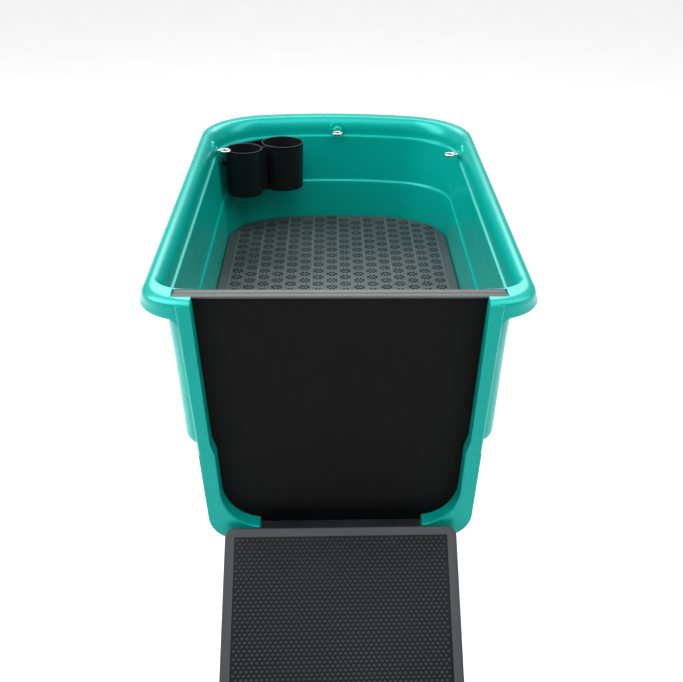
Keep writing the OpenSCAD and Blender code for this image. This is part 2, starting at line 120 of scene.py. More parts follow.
def applied(obj):
    """Replaces the object's mesh by its evaluated one and clears its modifiers."""
    graph = bpy.context.evaluated_depsgraph_get()
    mesh = bpy.data.meshes.new_from_object(obj.evaluated_get(graph))
    obj.modifiers.clear()
    old = obj.data
    obj.data = mesh
    bpy.data.meshes.remove(old)
    return obj


def boolean(obj, other, kind, keep=False):
    mod = obj.modifiers.new(kind, "BOOLEAN")
    mod.operation = kind
    mod.solver = "MANIFOLD"
    mod.object = other
    applied(obj)
    if not keep:
        bpy.data.objects.remove(other)
    return obj


def loft(name, rings, smooth=35.0):
    """A closed solid through rings of equal point count, capped at both ends."""
    n = len(rings[0])
    verts = [p for ring in rings for p in ring]
    faces = []
    for k in range(len(rings) - 1):
        a, b = k * n, (k + 1) * n
        for i in range(n):
            j = (i + 1) % n
            faces.append((a + i, a + j, b + j, b + i))
    faces.append(tuple(reversed(range(n))))
    faces.append(tuple(range((len(rings) - 1) * n, len(rings) * n)))
    obj = mesh_object(name, verts, faces, smooth)
    outward(obj)
    return obj


def outward(obj):
    bm = bmesh.new()
    bm.from_mesh(obj.data)
    bmesh.ops.recalc_face_normals(bm, faces=bm.faces)
    bm.to_mesh(obj.data)
    bm.free()


def arc(cx, cy, r, a0, a1, steps):
    return [(cx + r * math.cos(math.radians(a0 + (a1 - a0) * i / steps)),
             cy + r * math.sin(math.radians(a0 + (a1 - a0) * i / steps))) for i in range(steps + 1)]


def mirrored(right):
    return right + [(-x, y) for x, y in reversed(right) if abs(x) > 1e-9]


# ---------------------------------------------------------------- tub outlines
def plan(half, y0, y1, rf, rb, fine=1):
    """Plan outline: round front corners, large rear corners and a bowed back."""
    xc = half - rb * (1 - math.sin(BOW))
    bow = xc * math.tan(BOW) / 2
    cy = y1 - bow - rb * math.cos(BOW)
    right = arc(half - rf, y0 + rf, rf, -90, 0, 14 * fine)
    right += [(half, y0 + rf + (cy - y0 - rf) * t / 12) for t in range(1, 12)]
    right += arc(half - rb, cy, rb, 0, 90 - math.degrees(BOW), 24 * fine)
    right += [(xc * (1 - i / 12), y1 - bow * (1 - i / 12) ** 2) for i in range(1, 13)]
    return mirrored(right)


def tub_ring(half, depth, y0, back):
    """The tub's plan at a depth, starting y0 behind the front; back is taken off its far end."""
    inset = HALF - half
    corner = INNER_FRONT_R if back else FRONT_R
    outline = plan(half, y0, LENGTH - inset - back, max(corner - 0.6 * inset, 30 * MM),
                   max(REAR_R - 0.45 * inset, 60 * MM))
    return [(x, FRONT + y, TOP - depth) for x, y in outline]


def tub_loft(name, profile, back=0.0):
    return loft(name, [tub_ring(half * MM, depth * MM, y0 * MM, back) for half, depth, y0 in profile])


def u_outline(half_top, slope, bottom_d, r, top_d, steps=18, step_in=None):
    """Front view outline: drafted sides, round bottom corners and, if asked for, narrower
    below a step given as (distance, depth, depth of its tip); points are (x, depth)."""
    wide = half_top
    if step_in:
        half_top -= step_in[0]
    cd = bottom_d - r
    cx = half_top - slope * cd - r
    right = [(cx * t / 6, bottom_d) for t in range(0, 6)]
    right += [(x, cd - d) for x, d in arc(cx, 0, r, -90, 0, steps)]
    if step_in:
        right += [(half_top - slope * d, d) for d in (cd + (step_in[1] - cd) * t / 4 for t in range(1, 5))]
        half_top, cd = wide, step_in[2]
        right.append((half_top - slope * cd, cd))
    right += [(half_top - slope * d, d) for d in (cd + (top_d - cd) * t / 10 for t in range(1, 11))]
    return mirrored(right)


def front_loft(name, stations):
    """Solid along Y through front view outlines: stations are (y, outline)."""
    return loft(name, [[(x, FRONT + y, TOP - d) for x, d in outline] for y, outline in stations])


def box_solid(name, x0, x1, y0, y1, z0, z1, r=0.0, segments=3):
    v = [(x, y, z) for x in (x0, x1) for y in (y0, y1) for z in (z0, z1)]
    f = [(0, 1, 3, 2), (4, 6, 7, 5), (0, 4, 5, 1), (2, 3, 7, 6), (0, 2, 6, 4), (1, 5, 7, 3)]
    obj = mesh_object(name, v, f)
    outward(obj)
    if r:
        mod = obj.modifiers.new("round", "BEVEL")
        mod.width = r
        mod.segments = segments
        mod.limit_method = "NONE"
        applied(obj)
    return obj


def revolve(name, profile, centre, axis="Z", steps=48, closed=False):
    """Turns (radius, height) points about an axis through centre."""
    verts, faces = [], []
    n = len(profile)
    for k in range(steps):
        a = 2 * math.pi * k / steps
        for r, h in profile:
            verts.append((r * math.cos(a), r * math.sin(a), h))
    for k in range(steps):
        a, b = k * n, ((k + 1) % steps) * n
        for i in range(n if closed else n - 1):
            j = (i + 1) % n
            faces.append((a + i, b + i, b + j, a + j))
    if not closed:
        faces.append(tuple(k * n for k in reversed(range(steps))))
        faces.append(tuple(k * n + n - 1 for k in range(steps)))
    obj = mesh_object(name, verts, faces)
    turn = {"Z": Matrix.Identity(4), "Y": Matrix.Rotation(-math.pi / 2, 4, "X"),
            "X": Matrix.Rotation(math.pi / 2, 4, "Y")}[axis]
    obj.data.transform(Matrix.Translation(Vector(centre)) @ turn)
    outward(obj)
    return obj


# ---------------------------------------------------------------- materials
def material(name):
    mat = bpy.data.materials.new(name)
    mat.use_nodes = True
    tree = mat.node_tree
    return mat, tree, tree.nodes["Principled BSDF"]


def noise(tree, scale, detail=4.0, rough=0.6, stretch=None):
    coord = tree.nodes.new("ShaderNodeTexCoord")
    node = tree.nodes.new("ShaderNodeTexNoise")
    node.inputs["Scale"].default_value = scale
    node.inputs["Detail"].default_value = detail
    node.inputs["Roughness"].default_value = rough
    if stretch:
        mapping = tree.nodes.new("ShaderNodeMapping")
        mapping.inputs["Scale"].default_value = stretch
        tree.links.new(coord.outputs["Object"], mapping.inputs["Vector"])
        tree.links.new(mapping.outputs["Vector"], node.inputs["Vector"])
    else:
        tree.links.new(coord.outputs["Object"], node.inputs["Vector"])
    return node


def ramp(tree, source, stops):
    node = tree.nodes.new("ShaderNodeValToRGB")
    elements = node.color_ramp.elements
    while len(elements) < len(stops):
        elements.new(0.5)
    for element, (at, colour) in zip(elements, stops):
        element.position = at
        element.color = (*colour, 1.0) if len(colour) == 3 else colour
    tree.links.new(source, node.inputs["Fac"])
    return node.outputs["Color"]


def span(tree, source, low, high, out_low, out_high):
    node = tree.nodes.new("ShaderNodeMapRange")
    node.inputs["From Min"].default_value = low
    node.inputs["From Max"].default_value = high
    node.inputs["To Min"].default_value = out_low
    node.inputs["To Max"].default_value = out_high
    tree.links.new(source, node.inputs["Value"])
    return node.outputs["Result"]


def bump(tree, bsdf, layers):
    """Stacks bump layers: (height output, strength, distance)."""
    last = None
    for height, strength, distance in layers:
        node = tree.nodes.new("ShaderNodeBump")
        node.inputs["Strength"].default_value = strength
        node.inputs["Distance"].default_value = distance
        tree.links.new(height, node.inputs["Height"])
        if last:
            tree.links.new(last, node.inputs["Normal"])
        last = node.outputs["Normal"]
    tree.links.new(last, bsdf.inputs["Normal"])


def painted_shade_by_level(tree, colour, along, low, high, shades):
    """Paints shade into a relief: multiplies a colour by shades that change with the distance along a
    direction.
    """
    coord = tree.nodes.new("ShaderNodeTexCoord")
    dot = tree.nodes.new("ShaderNodeVectorMath")
    dot.operation = "DOT_PRODUCT"
    dot.inputs[1].default_value = along
    tree.links.new(coord.outputs["Object"], dot.inputs[0])
    level = span(tree, dot.outputs["Value"], low, high, 0.0, 1.0)
    mix = tree.nodes.new("ShaderNodeMix")
    mix.data_type = "RGBA"
    mix.blend_type = "MULTIPLY"
    mix.inputs["Factor"].default_value = 1.0
    tree.links.new(colour, mix.inputs[6])
    tree.links.new(ramp(tree, level, [(at, (s, s, s)) for at, s in shades]), mix.inputs[7])
    return mix.outputs[2]


def moulded(name, light, dark, rough, grain=900.0, grain_depth=0.00008, wave=0.0006, specular=0.5,
            tint=(1.0, 1.0, 1.0), height=None):
    """Moulded plastic: cloudy colour, fine grain, a slight sink-mark wave and uneven gloss.
    height = (direction, low, high, shades) paints shade onto the low parts of a relief, darker the lower they
    lie."""
    mat, tree, bsdf = material(name)
    cloud = noise(tree, 5.0, 5.0, 0.65)
    fine = noise(tree, grain, 3.0, 0.7)
    smear = noise(tree, 7.0, 0.0, 0.5)
    swell = noise(tree, 9.0, 1.0, 0.4)
    colour = ramp(tree, cloud.outputs["Fac"], [(0.3, dark), (0.7, light)])
    if height:
        colour = painted_shade_by_level(tree, colour, *height)
    tree.links.new(colour, bsdf.inputs["Base Color"])
    gloss = span(tree, smear.outputs["Fac"], 0.15, 0.85, rough - 0.03, rough + 0.04)
    tree.links.new(gloss, bsdf.inputs["Roughness"])
    bsdf.inputs["Specular Tint"].default_value = (*tint, 1.0)
    bsdf.inputs["Specular IOR Level"].default_value = specular
    bump(tree, bsdf, [(swell.outputs["Fac"], 0.25, wave), (fine.outputs["Fac"], 0.5, grain_depth)])
    return mat


def metal(name, colour, rough, scratch):
    mat, tree, bsdf = material(name)
    streak = noise(tree, 220.0, 3.0, 0.6, (1.0, 1.0, scratch))
    cloud = noise(tree, 40.0)
    dark = tuple(c * 0.8 for c in colour)
    patches = ramp(tree, cloud.outputs["Fac"], [(0.35, dark), (0.65, colour)])
    gloss = span(tree, streak.outputs["Fac"], 0.3, 0.7, rough - 0.06, rough + 0.1)
    tree.links.new(patches, bsdf.inputs["Base Color"])
    tree.links.new(gloss, bsdf.inputs["Roughness"])
    bsdf.inputs["Metallic"].default_value = 1.0
    bump(tree, bsdf, [(streak.outputs["Fac"], 0.3, 0.00005)])
    return mat


def coated(name, colour, rough):
    """Powder-coated steel: fine orange peel and a few dull patches."""
    mat, tree, bsdf = material(name)
    peel = noise(tree, 650.0, 2.0, 0.5)
    cloud = noise(tree, 12.0)
    light = tuple(c * 1.5 for c in colour)
    patches = ramp(tree, cloud.outputs["Fac"], [(0.35, colour), (0.7, light)])
    gloss = span(tree, cloud.outputs["Fac"], 0.3, 0.7, rough - 0.06, rough + 0.06)
    tree.links.new(patches, bsdf.inputs["Base Color"])
    tree.links.new(gloss, bsdf.inputs["Roughness"])
    bump(tree, bsdf, [(peel.outputs["Fac"], 0.4, 0.0001)])
    return mat


TEAL = moulded("teal_moulding", (0.0, 0.31, 0.262), (0.0, 0.28, 0.235), 0.28, grain_depth=0.000006,
               wave=0.0003, specular=0.75, tint=(0.18, 1.0, 0.97))
DOOR = moulded("door_sheet", (0.0085, 0.0085, 0.0088), (0.0065, 0.0065, 0.0068), 0.6, grain=1400.0,
               specular=0.06)
FLANGE = moulded("flange_sheet", (0.062, 0.067, 0.066), (0.052, 0.057, 0.056), 0.42, grain=1200.0)
# painted shade: the rack colour darkens down into its holes and on the deck between the ribs, rib tops keep
# the full colour
RACK = moulded("rack_moulding", (0.082, 0.102, 0.105), (0.056, 0.072, 0.074), 0.5, grain=1100.0, specular=0.3,
               height=((0, 0, 1), RACK_TOP - 2.4 * MM, RACK_TOP + 1.6 * MM,
                       [(0.0, 0.10), (0.35, 0.22), (0.57, 0.62), (0.68, 0.66), (0.9, 1.0)]))
CADDY = moulded("caddy_moulding", (0.0065, 0.008, 0.009), (0.0045, 0.0055, 0.006), 0.38, grain=1300.0,
                specular=0.18)
RAMP = moulded("ramp_moulding", (0.032, 0.036, 0.041), (0.026, 0.029, 0.034), 0.42, grain=1000.0,
               specular=0.3)
# painted shade: the mat colour darkens to near black on the sheet between the studs, stud tops keep the full
# colour
MAT_NORMAL = (0.0, -math.sin(RAMP_A), math.cos(RAMP_A))
MAT_LEVEL = MAT_NORMAL[1] * PIN_Y + MAT_NORMAL[2] * PIN_Z + DECK_T
MAT = moulded("mat_moulding", (0.03, 0.033, 0.037), (0.02, 0.023, 0.026), 0.45, grain=1500.0, specular=0.14,
              height=(MAT_NORMAL, MAT_LEVEL - 0.35 * MM, MAT_LEVEL + 0.85 * MM,
                      [(0.0, 0.07), (0.35, 0.10), (0.8, 0.75), (1.0, 1.0)]))
RUBBER = moulded("rubber", (0.016, 0.016, 0.016), (0.010, 0.010, 0.010), 0.7, grain=1800.0, specular=0.3)
DRAIN = moulded("drain_moulding", (0.02, 0.02, 0.021), (0.014, 0.014, 0.015), 0.4)
STEEL = metal("stainless", (0.62, 0.62, 0.60), 0.22, 0.2)
COATED = coated("coated_steel", (0.012, 0.012, 0.013), 0.42)

SLOT_MATERIAL = {
    "tub_plastic": TEAL, "door_plastic": DOOR, "flange_plastic": FLANGE, "seal_rubber": RUBBER,
    "rack_plastic": RACK, "caddy_plastic": CADDY, "stainless": STEEL, "drain_plastic": DRAIN,
    "coated_steel": COATED, "ramp_plastic": RAMP, "mat_plastic": MAT, "foot_rubber": RUBBER,
}


def paint(obj, mat):
    obj.data.materials.clear()
    obj.data.materials.append(mat)


def place(obj, body, slot_name, *nodes):
    """Paints a new piece, lets it ride on its body and stand for its CAD nodes."""
    paint(obj, SLOT_MATERIAL[slot_name])
    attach(obj, body)
    if nodes:
        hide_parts(*nodes)
    return obj


# ---------------------------------------------------------------- tub
def rolled(cx, cd, rx, rd, a0, a1, steps):
    """Part of an elliptical roll as (half, depth) in mm; 0 degrees points outward, 90 up."""
    return [(cx + rx * math.cos(math.radians(a)), cd - rd * math.sin(math.radians(a)))
            for a in np.linspace(a0, a1, steps)]


def with_front(points, y_of):
    return [(half, depth, y_of(half, depth)) for half, depth in points]


def rim_solid():
    """The rolled rim and its skirt as a solid, from the hem up and over to a flat inner cut."""
    hem_d = SKIRT_D / MM
    outer = [(345.2, hem_d), (347.2, hem_d - 0.6), (348, hem_d - 2.4), (347.3, hem_d - 6), (345.4, 24)]
    outer += rolled(325, 20, 19.5, 20, 4, 90, 16)
    return tub_loft("rim", with_front(outer, lambda half, depth: 340 - min(half, 340)))


def channel_solid():
    points = [(344.2, 34), (342, 26), (338.6, 17), (334, 10.5), (328, 6.8), (322, 5.4)]
    return tub_loft("channel", with_front(points, lambda half, depth: 344.5 - half))


def body_solid():
    points = [(324, 4.5), (318, 12), (313, 24), (309.5, 33), (298, 129), (285, 292)]
    points += [(284.4, 298), (283.2, 302.4), (280.4, 306), (276, 308.2), (262, 309.5), (254, 310.5),
               (250.5, 312.5), (248.6, 316), (247.6, 323)]
    points += [(237, 455)] + [(x, d) for x, d in rolled(213, 476, 24, 24, 0, -90, 9)]
    front = lambda half, depth: 60 - max(0, min(4, (half - 313) * 0.4)) + max(0, 226 - half) * 0.5
    return tub_loft("body", with_front(points, front), BACK_IN)


def cavity_solid():
    points = [(330, -6), (327.5, -0.01)] + rolled(327.5, 38, 20.5, 38, 97, 176, 18)
    points += [(306.4, 43.2), (305.6, 44.8), (303.4, 45.8), (301.6, 46.6), (300.6, 48.2), (300.1, 52)]
    points += [(292.4, 160), (292.1, 163), (290.9, 164.8), (289.2, 165.8), (288.0, 167.6), (287.5, 172)]
    points += [(280.4, 292), (279.9, 299), (278.6, 303.6), (275.6, 305.6), (271, 306.2), (252, 306.8),
               (247.4, 308.2), (244.8, 311), (243.6, 316)]
    points += [(233, 450)] + [(x, d) for x, d in rolled(209, 472, 23, 24, 0, -90, 9)]
    front = lambda half, depth: 64 - max(0, min(4, (half - 312) * 0.3)) + max(0, 222 - half) * 0.5
    return tub_loft("cavity", with_front(points, front), BACK_IN)


def frame_outline(inset):
    return u_outline(FRAME_HALF - inset, FRAME_SLOPE, FRAME_D - inset, FRAME_CORNER - inset, 8 * MM)


def doorway_outline(grow, top_d=-30 * MM):
    return u_outline(DOOR_HALF + grow, DOOR_SLOPE, SILL_D + 0.8 * grow, 70 * MM + grow, top_d)


def opening_outline(grow):
    """The open doorway, narrower below the seam where the sill lip stands in."""
    return u_outline(DOOR_HALF + grow, DOOR_SLOPE, SILL_D + 0.8 * grow, 75 * MM + grow, -30 * MM,
                     step_in=(LIP, SEAM_D, LIP_TIP_D))


def frame_block():
    r = 5 * MM
    turns = [math.pi / 2 * k / 6 for k in range(6, -1, -1)]
    stations = [(r * (1 - math.sin(a)), frame_outline(r * (1 - math.cos(a)))) for a in turns]
    stations.append((WALL_Y, frame_outline(0)))
    return front_loft("frame_block", stations)


def gusset(side):
    """The hollow fillet from the rim's hem into the frame's outer edge, kept behind the skirt."""
    r, size, hem = 5 * MM, 20 * MM, SKIRT_D - 1.5 * MM
    edge = FRAME_HALF - FRAME_SLOPE * (hem + size / 2)

    def outline(inset):
        points = [(edge - 16 * MM, hem - 8 * MM), (edge - 16 * MM, hem + size + 6 * MM)]
        points += arc(edge + size, hem + size, size + inset, 180, 270, 10)
        return [(side * x, d) for x, d in points + [(edge + size, hem - 8 * MM)]]

    turns = [math.pi / 2 * k / 6 for k in range(6, -1, -1)]
    stations = [(0.5 * MM + r * (1 - math.sin(a)), outline(r * (1 - math.cos(a)))) for a in turns]
    stations.append((FRAME_T, outline(0)))
    skirt = [tub_ring(HALF + FLARE - 0.4 * MM, depth, 0.3 * MM, 0) for depth in (-5 * MM, 100 * MM)]
    return boolean(front_loft("gusset", stations), loft("skirt", skirt), "INTERSECT")


def sill_step():
    """The lower part of the frame stands a little proud, up to the seam."""
    short = 4 * MM                    # it ends this far above the frame's rounded lower edge
    turns = [math.pi / 2 * k / 4 for k in range(4, -1, -1)]
    stations = [(-STEP * math.sin(a), u_outline(FRAME_HALF - inset, FRAME_SLOPE, FRAME_D - short - inset,
                                                FRAME_CORNER - short - inset, SEAM_D + inset))
                for a in turns for inset in [STEP * (1 - math.cos(a))]]
    stations.append((3 * MM, stations[-1][1]))
    return front_loft("sill_step", stations)


def doorway_cutter():
    r = 4 * MM
    turns = [math.pi / 2 * k / 6 for k in range(7)]
    stations = [(-4 * MM, opening_outline(r + 4 * MM))]
    stations += [(r * (1 - math.cos(a)) - STEP, opening_outline(r * (1 - math.sin(a)))) for a in turns]
    edge = 1.4 * MM
    for y, lean in ((SLOT_Y, -1), (SLOT_Y + SLOT_T, 1)):
        ends = [(y - edge, 0.0), (y, 0.8 * edge)] if lean < 0 else [(y, 0.8 * edge), (y + edge, 0.0)]
        stations += [(at, opening_outline(grow)) for at, grow in ends]
    stations.append((WALL_Y - 3 * MM, opening_outline(0)))
    stations.append((WALL_Y - 1 * MM, opening_outline(0.8 * MM)))
    stations.append((WALL_Y + 10 * MM, opening_outline(5 * MM)))
    return front_loft("doorway", stations)


def slot_cutter():
    return front_loft("slot", [(SLOT_Y, doorway_outline(DOOR_LAP + 1.5 * MM)),
                               (SLOT_Y + SLOT_T, doorway_outline(DOOR_LAP + 1.5 * MM))])


EYES = {"rear": (0.0, LENGTH - BACK_IN - 34 * MM, 0.0), "left": (-306 * MM, 1012 * MM, 90.0),
        "right": (306 * MM, 990 * MM, -90.0)}


def boss(where, length, r_base, r_top):
    """A shallow dome on the inner wall round an eye bolt."""
    x, y, turn = where
    profile = [(r_base + 6 * MM, -6 * MM), (r_base + 3 * MM, 0.0), (r_base, 1.2 * MM)]
    profile += [(r_base - (r_base - r_top) * math.sin(t), 1.2 * MM + length * (1 - math.cos(t)))
                for t in np.linspace(0.3, math.pi / 2, 7)]
    profile += [(r_top * 0.5, length + 2.2 * MM)]
    obj = revolve("boss", profile, (0, 0, 0), "Z", 40)
    obj.data.transform(Matrix.Translation((x, FRONT + y, EYE_Z)) @ Matrix.Rotation(math.radians(turn), 4, "Z")
                       @ Matrix.Rotation(math.pi / 2, 4, "X"))
    outward(obj)
    return obj


def build_tub():
    tub = rim_solid()
    boolean(tub, channel_solid(), "DIFFERENCE")
    boolean(tub, body_solid(), "UNION")
    boolean(tub, frame_block(), "UNION")
    for side in (-1, 1):
        boolean(tub, gusset(side), "UNION")
    boolean(tub, sill_step(), "UNION")
    boolean(tub, cavity_solid(), "DIFFERENCE")
    for name, where in EYES.items():
        boolean(tub, boss(where, 6 * MM, 19 * MM, 9 * MM), "UNION")
    boolean(tub, doorway_cutter(), "DIFFERENCE")
    boolean(tub, slot_cutter(), "DIFFERENCE")
    recess = 3.5 * MM
    boolean(tub, box_solid("recess", flange_low.x - recess, flange_high.x + recess, flange_low.y - 1 * MM,
                           flange_high.y + 1 * MM, flange_low.z - 1 * MM, TOP + 20 * MM), "DIFFERENCE")
    boolean(tub, box_solid("notch", -NOTCH_HALF, NOTCH_HALF, FRONT - 10 * MM, FRONT + SLOT_Y + 1 * MM,
                           TOP - SILL_D - NOTCH_D, TOP - SILL_D + 20 * MM), "DIFFERENCE")
    drain_low, drain_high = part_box("drain_flange")
    centre = ((drain_low.x + drain_high.x) / 2, (drain_low.y + drain_high.y) / 2, tub_low.z - 10 * MM)
    boolean(tub, revolve("drain_hole", [(26 * MM, 0.0), (26 * MM, 30 * MM)], centre), "DIFFERENCE")
    tub.name = "tub_moulding"
    tub.data.name = "tub_moulding"
    shade(tub, 32)
    tub.modifiers.new("even", "WEIGHTED_NORMAL").keep_sharp = True
    applied(tub)
    return place(tub, "tub", "tub_plastic", "tub_shell")


# ---------------------------------------------------------------- door
def front_panel(name, outline, y0, y1, r):
    """A sheet along Y with rounded edges; outline(inset) gives its front view."""
    turns = [math.pi / 2 * k / 4 for k in range(5)]
    near = [(y0 + r * (1 - math.sin(a)), outline(r * (1 - math.cos(a)))) for a in reversed(turns)]
    far = [(y1 - r * (1 - math.sin(a)), outline(r * (1 - math.cos(a)))) for a in turns]
    return front_loft(name, [(y - FRONT, points) for y, points in near + far])


def bar(name, profile, x0, x1, r):
    """Extrudes a (y, z) profile along X and rounds its edges."""
    n = len(profile)
    verts = [(x, y, z) for x in (x0, x1) for y, z in profile]
    faces = [(i, (i + 1) % n, n + (i + 1) % n, n + i) for i in range(n)]
    faces += [tuple(reversed(range(n))), tuple(range(n, 2 * n))]
    obj = mesh_object(name, verts, faces)
    outward(obj)
    mod = obj.modifiers.new("round", "BEVEL")
    mod.width = r
    mod.segments = 3
    applied(obj)
    shade(obj, 35)
    return obj


def build_door():
    top_d = TOP - flange_low.z
    proud = 0.7 * MM                  # the sheet stands this far in front of its CAD face
    panel = front_panel("door_sheet", lambda inset: doorway_outline(DOOR_LAP - inset, top_d),
                        door_low.y - proud, door_high.y, 1.6 * MM)
    place(panel, "door", "door_plastic", "door_panel")
    y0, y1, z0, z1 = flange_low.y, flange_high.y, flange_low.z, flange_high.z
    mid, groove, deep = (y0 + y1) / 2 - 2 * MM, 3.5 * MM, 1.4 * MM
    profile = [(y0, z0), (y1, z0), (y1, z1 - 0.5 * MM), (y1 - 2 * MM, z1), (mid + groove, z1),
               (mid + groove - deep, z1 - deep), (mid - groove + deep, z1 - deep), (mid - groove, z1),
               (y0 + 2 * MM, z1), (y0, z1 - 0.8 * MM)]
    strip = bar("door_top_strip", profile, flange_low.x, flange_high.x, 0.5 * MM)
    place(strip, "door", "flange_plastic", "door_flange")


# ---------------------------------------------------------------- floor rack
HOLE_DX = 32 * MM
HOLE_DY = 40 * MM
FIRST_ROW = 100 * MM
RACK_CORNER = 160 * MM
RACK_FRONT_CORNER = 40 * MM


def rack_ring(half, z):
    grow = half - RACK_HALF
    y0, y1 = rack_front_low.y - FRONT, rack_rear_high.y - FRONT
    outline = plan(half, y0 - grow, y1 + grow, RACK_FRONT_CORNER + grow, RACK_CORNER + grow)
    return [(x, FRONT + y, z) for x, y in outline]


def in_rack(x, y, margin):
    """Whether a point at a distance y behind the front face lies this far inside the rack's outline."""
    half, y1 = RACK_HALF - margin, rack_rear_high.y - FRONT - margin
    rb = RACK_CORNER - margin
    xc = half - rb * (1 - math.sin(BOW))
    cy = y1 - xc * math.tan(BOW) / 2 - rb * math.cos(BOW)
    if abs(x) > half or y > y1 - xc * math.tan(BOW) / 2 * (x / xc) ** 2:
        return False
    return y <= cy or abs(x) <= half - rb or math.hypot(abs(x) - (half - rb), y - cy) <= rb


def prisms(name, outlines, z0, z1):
    """Many separate upright prisms as one mesh."""
    verts, faces = [], []
    for outline in outlines:
        base, n = len(verts), len(outline)
        verts += [(x, y, z0) for x, y in outline] + [(x, y, z1) for x, y in outline]
        for i in range(n):
            j = (i + 1) % n
            faces.append((base + i, base + j, base + n + j, base + n + i))
        faces += [tuple(base + i for i in reversed(range(n))), tuple(base + n + i for i in range(n))]
    return mesh_object(name, verts, faces)


def rosette(x, y, petals=8, reach=9.6 * MM, long=4.6 * MM, wide=2.7 * MM, sides=9):
    shapes = []
    for k in range(petals):
        a = 2 * math.pi * (k + 0.5) / petals
        shape = []
        for i in range(sides):
            t = 2 * math.pi * i / sides
            u, v = reach + long * math.cos(t), wide * math.sin(t) * (1 + 0.25 * math.cos(t))
            shape.append((x + u * math.cos(a) - v * math.sin(a), y + u * math.sin(a) + v * math.cos(a)))
        shapes.append(shape)
    shapes.append(arc(x, y, 2.6 * MM, 0, 324, 9))
    return shapes


def build_racks():
    top, bottom = RACK_TOP, rack_rear_low.z
    r = 2.5 * MM
    wide = RACK_HALF + 2.5 * MM
    turns = [math.pi / 2 * k / 4 for k in range(5)]
    rings = [rack_ring(RACK_HALF, bottom)]
    rings += [rack_ring(wide - r * (1 - math.cos(a)), top - r * (1 - math.sin(a))) for a in turns]
    rack = loft("rack", rings)
    inner = loft("inner", [rack_ring(RACK_HALF - 4 * MM, bottom - 2 * MM),
                           rack_ring(RACK_HALF - 3 * MM, top - 5 * MM)])
    boolean(rack, inner, "DIFFERENCE")
    y0, y1 = rack_front_low.y + 6 * MM, rack_rear_high.y
    for i in range(-4, 5):
        x = 2 * i * HOLE_DX
        short = {3: 34 * MM, 4: 128 * MM}.get(abs(i), 8 * MM)      # outer ribs end at the round corners
        end = y1 - short
        section = [(-2.6 * MM, -1 * MM), (2.6 * MM, -1 * MM), (1.7 * MM, 1.6 * MM), (-1.7 * MM, 1.6 * MM)]
        rib = bar("rib", section, y0, end, 0.7 * MM)
        rib.data.transform(Matrix.Translation((x, 0, top)) @ Matrix.Rotation(math.pi / 2, 4, "Z"))
        boolean(rack, rib, "UNION")
        web = box_solid("web", x - 1.5 * MM, x + 1.5 * MM, y0, end, bottom + 1 * MM, top - 3 * MM)
        boolean(rack, web, "UNION")
    rows = int((rack_rear_high.y - FRONT - FIRST_ROW) / HOLE_DY)
    shapes = []
    for i in range(-9, 9):
        for j in range(rows + 1):
            x, y = (i + 0.5) * HOLE_DX, FIRST_ROW + (j + abs(i % 2) / 2) * HOLE_DY
            if in_rack(x, y, 17 * MM) and y < rack_rear_high.y - FRONT:
                seam = abs(FRONT + y - (rack_front_high.y + rack_rear_low.y) / 2) < 15 * MM
                shapes += [] if seam else rosette(x, FRONT + y)
    boolean(rack, prisms("petals", shapes, top - 8 * MM, top + 4 * MM), "DIFFERENCE")
    for name, body, low, high in (("front", "front_rack", rack_front_low, rack_front_high),
                                  ("rear", "rear_rack", rack_rear_low, rack_rear_high)):
        half = bpy.data.objects.new("rack_" + name, rack.data.copy())
        bpy.context.scene.collection.objects.link(half)
        y_low = low.y - 5 * MM if name == "front" else low.y
        y_high = high.y if name == "front" else high.y + 5 * MM
        boolean(half, box_solid("keep", -0.4, 0.4, y_low, y_high, bottom - 0.1, top + 0.1), "INTERSECT")
        cross = [low.y + 8 * MM, (low.y + high.y) / 2, high.y - (8 if name == "front" else 150) * MM]
        for y in cross:
            web = box_solid("cross", -RACK_HALF + 3 * MM, RACK_HALF - 3 * MM, y - 1.5 * MM, y + 1.5 * MM,
                            bottom + 1 * MM, top - 3 * MM)
            boolean(half, web, "UNION")
        shade(half, 30)
        place(half, body, "rack_plastic", "floor_rack_" + name)
    bpy.data.objects.remove(rack)


# ---------------------------------------------------------------- bottle caddy
CUPS = [((-237 * MM, 1054 * MM), 46 * MM), ((-142 * MM, 1116 * MM), 53 * MM)]
WEBS = [((-254 * MM, 1072 * MM), 25 * MM), ((-146 * MM, 1140 * MM), 38 * MM)]


def hull_outline(inset, steps=20):
    """Outline round the two back circles of the caddy."""
    (x1, y1), r1 = WEBS[0]
    (x2, y2), r2 = WEBS[1]
    a = math.atan2(y2 - y1, x2 - x1)
    b = math.acos((r1 - r2) / math.hypot(x2 - x1, y2 - y1))
    points = []
    for cx, cy, r, start, end in ((x2, y2, r2, a - b, a + b), (x1, y1, r1, a + b, a - b + 2 * math.pi)):
        points += [(cx + (r - inset) * math.cos(t), FRONT + cy + (r - inset) * math.sin(t))
                   for t in np.linspace(start, end, steps)]
    return points


CUP_SCREWS = [(74.0, 55.8 * MM), (9.9, 69 * MM)]      # turn of the screw, end of its boss
SCREW_Z = caddy_high.z - 40 * MM


def on_cup_axis(obj, i):
    (x, y), turn = CUPS[i][0], math.radians(CUP_SCREWS[i][0])
    obj.data.transform(Matrix.Translation((x, FRONT + y, SCREW_Z)) @ Matrix.Rotation(turn, 4, "Z")
                       @ Matrix.Rotation(-math.pi / 2, 4, "X"))
    outward(obj)
    return obj


